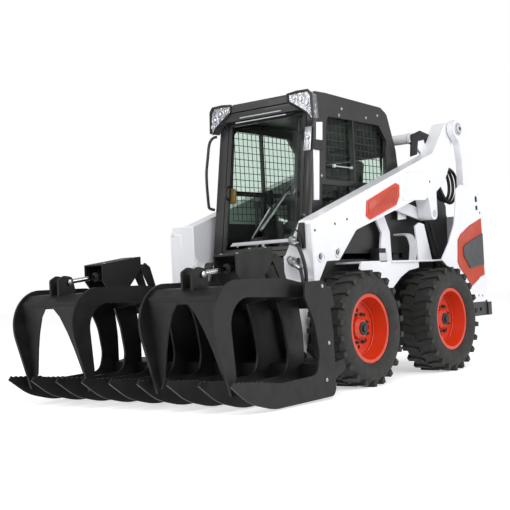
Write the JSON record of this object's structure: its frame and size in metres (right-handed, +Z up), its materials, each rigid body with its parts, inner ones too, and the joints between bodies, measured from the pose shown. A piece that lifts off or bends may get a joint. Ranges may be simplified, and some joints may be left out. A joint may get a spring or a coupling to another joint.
{
  "type": "skid steer loader with root grapple",
  "caption": "Compact wheeled skid steer loader with vertical-lift arms, enclosed cab and a root grapple with two opening claws.",
  "frame": {"origin": "centre of the bounding box's bottom face, on the ground midway between grapple tips and rear bumper, on the centreline", "axes": "+X to the machine's left, -Y forwards (cab and grapple face -Y), +Z up"},
  "size_m": [1.828, 3.452, 1.957],
  "materials": {
    "white_paint": "satin white paint",
    "dark_paint": "semi-gloss dark grey paint",
    "black_paint": "satin black paint",
    "rim_paint": "gloss orange-red paint",
    "tyre": "matt black rubber",
    "chrome_rod": "polished chrome",
    "iron": "dark cast iron",
    "glass": "clear, slightly green",
    "lamp": "clear lens over a bright reflector",
    "seat_vinyl": "black vinyl",
    "black_plastic": "moulded black plastic"
  },
  "bodies": {
    "chassis": {"main_frame": "dark_paint", "side_frame_left": "white_paint", "side_frame_right": "white_paint", "rear_bumper": "black_paint", "engine_block": "iron", "cab_frame": "black_paint", "cab_roof": "black_paint", "rear_glass": "glass", "side_screen_left": "glass", "side_screen_right": "glass", "work_lamp_left": "lamp", "work_lamp_right": "lamp", "seat": "seat_vinyl", "control_lever_left": "black_plastic", "control_lever_right": "black_plastic"},
    "cab_door": {"cab_door": "black_paint", "door_glass": "glass"},
    "lap_bar": {"lap_bar": "black_paint"},
    "engine_hood": {"engine_hood": "dark_paint"},
    "tailgate": {"tailgate": "white_paint"},
    "lift_arms": {"lift_arms": "white_paint"},
    "attachment": {"quick_attach": "black_paint", "grapple_frame": "black_paint"},
    "wheel_front_left": {"rim_front_left": "rim_paint", "tyre_front_left": "tyre"},
    "wheel_front_right": {"rim_front_right": "rim_paint", "tyre_front_right": "tyre"},
    "wheel_rear_left": {"rim_rear_left": "rim_paint", "tyre_rear_left": "tyre"},
    "wheel_rear_right": {"rim_rear_right": "rim_paint", "tyre_rear_right": "tyre"},
    "front_link_left": {"front_link_left": "white_paint"},
    "front_link_right": {"front_link_right": "white_paint"},
    "rear_link_left": {"rear_link_left": "white_paint"},
    "rear_link_right": {"rear_link_right": "white_paint"},
    "lift_barrel_left": {"lift_barrel_left": "black_paint"},
    "lift_barrel_right": {"lift_barrel_right": "black_paint"},
    "lift_rod_left": {"lift_rod_left": "chrome_rod"},
    "lift_rod_right": {"lift_rod_right": "chrome_rod"},
    "tilt_barrel_left": {"tilt_barrel_left": "black_paint"},
    "tilt_barrel_right": {"tilt_barrel_right": "black_paint"},
    "tilt_rod_left": {"tilt_rod_left": "chrome_rod"},
    "tilt_rod_right": {"tilt_rod_right": "chrome_rod"},
    "claw_left": {"claw_left": "black_paint"},
    "claw_right": {"claw_right": "black_paint"},
    "claw_barrel_left": {"claw_barrel_left": "black_paint"},
    "claw_barrel_right": {"claw_barrel_right": "black_paint"},
    "claw_rod_left": {"claw_rod_left": "chrome_rod"},
    "claw_rod_right": {"claw_rod_right": "chrome_rod"}
  },
  "joints": [
    {"name": "front_left_wheel_spin", "type": "hinge", "parent": "chassis", "child": "wheel_front_left", "pos_m": [0.673, -0.164, 0.373], "axis": [1, 0, 0], "continuous": true},
    {"name": "front_right_wheel_spin", "type": "hinge", "parent": "chassis", "child": "wheel_front_right", "pos_m": [-0.673, -0.164, 0.373], "axis": [1, 0, 0], "continuous": true},
    {"name": "rear_left_wheel_spin", "type": "hinge", "parent": "chassis", "child": "wheel_rear_left", "pos_m": [0.673, 0.918, 0.373], "axis": [1, 0, 0], "continuous": true},
    {"name": "rear_right_wheel_spin", "type": "hinge", "parent": "chassis", "child": "wheel_rear_right", "pos_m": [-0.673, 0.918, 0.373], "axis": [1, 0, 0], "continuous": true},
    {"name": "boom_lift", "type": "hinge", "parent": "chassis", "child": "front_link_left", "pos_m": [0.486, 0.436, 1.27], "axis": [1, 0, 0], "range_deg": [0, 77.96]},
    {"name": "front_link_right_turn", "type": "hinge", "parent": "chassis", "child": "front_link_right", "pos_m": [-0.486, 0.436, 1.27], "axis": [1, 0, 0], "range_deg": [0, 77.98]},
    {"name": "lift_arms_turn", "type": "hinge", "parent": "front_link_left", "child": "lift_arms", "pos_m": [0.486, 1.051, 1.15], "axis": [1, 0, 0], "range_deg": [-145.48, 0]},
    {"name": "rear_link_left_turn", "type": "hinge", "parent": "lift_arms", "child": "rear_link_left", "pos_m": [0.645, 1.371, 1.8], "axis": [1, 0, 0], "range_deg": [0, 65.22]},
    {"name": "lift_barrel_left_turn", "type": "hinge", "parent": "chassis", "child": "lift_barrel_left", "pos_m": [0.44, 1.456, 0.62], "axis": [1, 0, 0], "range_deg": [-3.43, 0]},
    {"name": "lift_rod_left_slide", "type": "slide", "parent": "lift_barrel_left", "child": "lift_rod_left", "axis": [0, -0.4472, 0.8944], "range_m": [0, 0.55497]},
    {"name": "rear_link_right_turn", "type": "hinge", "parent": "lift_arms", "child": "rear_link_right", "pos_m": [-0.645, 1.371, 1.8], "axis": [1, 0, 0], "range_deg": [0, 65.22]},
    {"name": "lift_barrel_right_turn", "type": "hinge", "parent": "chassis", "child": "lift_barrel_right", "pos_m": [-0.44, 1.456, 0.62], "axis": [1, 0, 0], "range_deg": [-3.43, 0]},
    {"name": "lift_rod_right_slide", "type": "slide", "parent": "lift_barrel_right", "child": "lift_rod_right", "axis": [0, -0.4472, 0.8944], "range_m": [0, 0.55497]},
    {"name": "attach_tilt", "type": "hinge", "parent": "lift_arms", "child": "attachment", "pos_m": [0, -0.564, 0.214], "axis": [1, 0, 0], "range_deg": [-27, 107]},
    {"name": "tilt_barrel_left_turn", "type": "hinge", "parent": "lift_arms", "child": "tilt_barrel_left", "pos_m": [0.315, -0.429, 0.82], "axis": [1, 0, 0], "range_deg": [-0.56, 2.17]},
    {"name": "tilt_rod_left_slide", "type": "slide", "parent": "tilt_barrel_left", "child": "tilt_rod_left", "axis": [0, -0.3843, -0.9232], "range_m": [-0.06455, 0.25522]},
    {"name": "claw_left_open", "type": "hinge", "parent": "attachment", "child": "claw_left", "pos_m": [0.55, -0.924, 0.645], "axis": [-1, 0, 0], "range_deg": [-8, 65]},
    {"name": "claw_barrel_left_turn", "type": "hinge", "parent": "attachment", "child": "claw_barrel_left", "pos_m": [0.55, -0.879, 0.83], "axis": [-1, 0, 0], "range_deg": [-8.7, 70.51]},
    {"name": "claw_rod_left_slide", "type": "slide", "parent": "claw_barrel_left", "child": "claw_rod_left", "axis": [0, -0.9938, -0.1108], "range_m": [-0.19785, 0.02453]},
    {"name": "tilt_barrel_right_turn", "type": "hinge", "parent": "lift_arms", "child": "tilt_barrel_right", "pos_m": [-0.315, -0.429, 0.82], "axis": [1, 0, 0], "range_deg": [-0.56, 2.17]},
    {"name": "tilt_rod_right_slide", "type": "slide", "parent": "tilt_barrel_right", "child": "tilt_rod_right", "axis": [0, -0.3843, -0.9232], "range_m": [-0.06455, 0.25522]},
    {"name": "claw_right_open", "type": "hinge", "parent": "attachment", "child": "claw_right", "pos_m": [-0.55, -0.924, 0.645], "axis": [-1, 0, 0], "range_deg": [-8, 65]},
    {"name": "claw_barrel_right_turn", "type": "hinge", "parent": "attachment", "child": "claw_barrel_right", "pos_m": [-0.55, -0.879, 0.83], "axis": [-1, 0, 0], "range_deg": [-8.7, 70.51]},
    {"name": "claw_rod_right_slide", "type": "slide", "parent": "claw_barrel_right", "child": "claw_rod_right", "axis": [0, -0.9938, -0.1108], "range_m": [-0.19785, 0.02453]},
    {"name": "cab_door_open", "type": "hinge", "parent": "chassis", "child": "cab_door", "pos_m": [0.342, -0.21332, 1.37141], "axis": [0, 0.1572, 0.9876], "range_deg": [0, 95]},
    {"name": "lap_bar_raise", "type": "hinge", "parent": "chassis", "child": "lap_bar", "pos_m": [0, 0.736, 1.33], "axis": [-1, 0, 0], "range_deg": [0, 75]},
    {"name": "engine_hood_raise", "type": "hinge", "parent": "chassis", "child": "engine_hood", "pos_m": [0, 0.908, 1.247], "axis": [1, 0, 0], "range_deg": [0, 45]},
    {"name": "tailgate_open", "type": "hinge", "parent": "chassis", "child": "tailgate", "pos_m": [-0.417, 1.686, 0.81], "axis": [0, 0, 1], "range_deg": [0, 100]}
  ],
  "couplings": [
    {"joint": "front_link_right_turn", "follows": "boom_lift", "ratio": 1},
    {"joint": "lift_arms_turn", "follows": "boom_lift", "ratio": -1.8659},
    {"joint": "rear_link_left_turn", "follows": "boom_lift", "ratio": 0.83641},
    {"joint": "lift_barrel_left_turn", "follows": "boom_lift", "ratio": -0.043751},
    {"joint": "lift_rod_left_slide", "follows": "boom_lift", "m_per_rad": 0.40774},
    {"joint": "rear_link_right_turn", "follows": "boom_lift", "ratio": 0.83641},
    {"joint": "lift_barrel_right_turn", "follows": "boom_lift", "ratio": -0.043751},
    {"joint": "lift_rod_right_slide", "follows": "boom_lift", "m_per_rad": 0.40774},
    {"joint": "tilt_barrel_left_turn", "follows": "attach_tilt", "ratio": 0.020116},
    {"joint": "tilt_rod_left_slide", "follows": "attach_tilt", "m_per_rad": 0.13656},
    {"joint": "claw_barrel_left_turn", "follows": "claw_left_open", "ratio": 1.0845},
    {"joint": "claw_rod_left_slide", "follows": "claw_left_open", "m_per_rad": -0.17422},
    {"joint": "tilt_barrel_right_turn", "follows": "attach_tilt", "ratio": 0.020116},
    {"joint": "tilt_rod_right_slide", "follows": "attach_tilt", "m_per_rad": 0.13656},
    {"joint": "claw_barrel_right_turn", "follows": "claw_right_open", "ratio": 1.0845},
    {"joint": "claw_rod_right_slide", "follows": "claw_right_open", "m_per_rad": -0.17422}
  ]
}
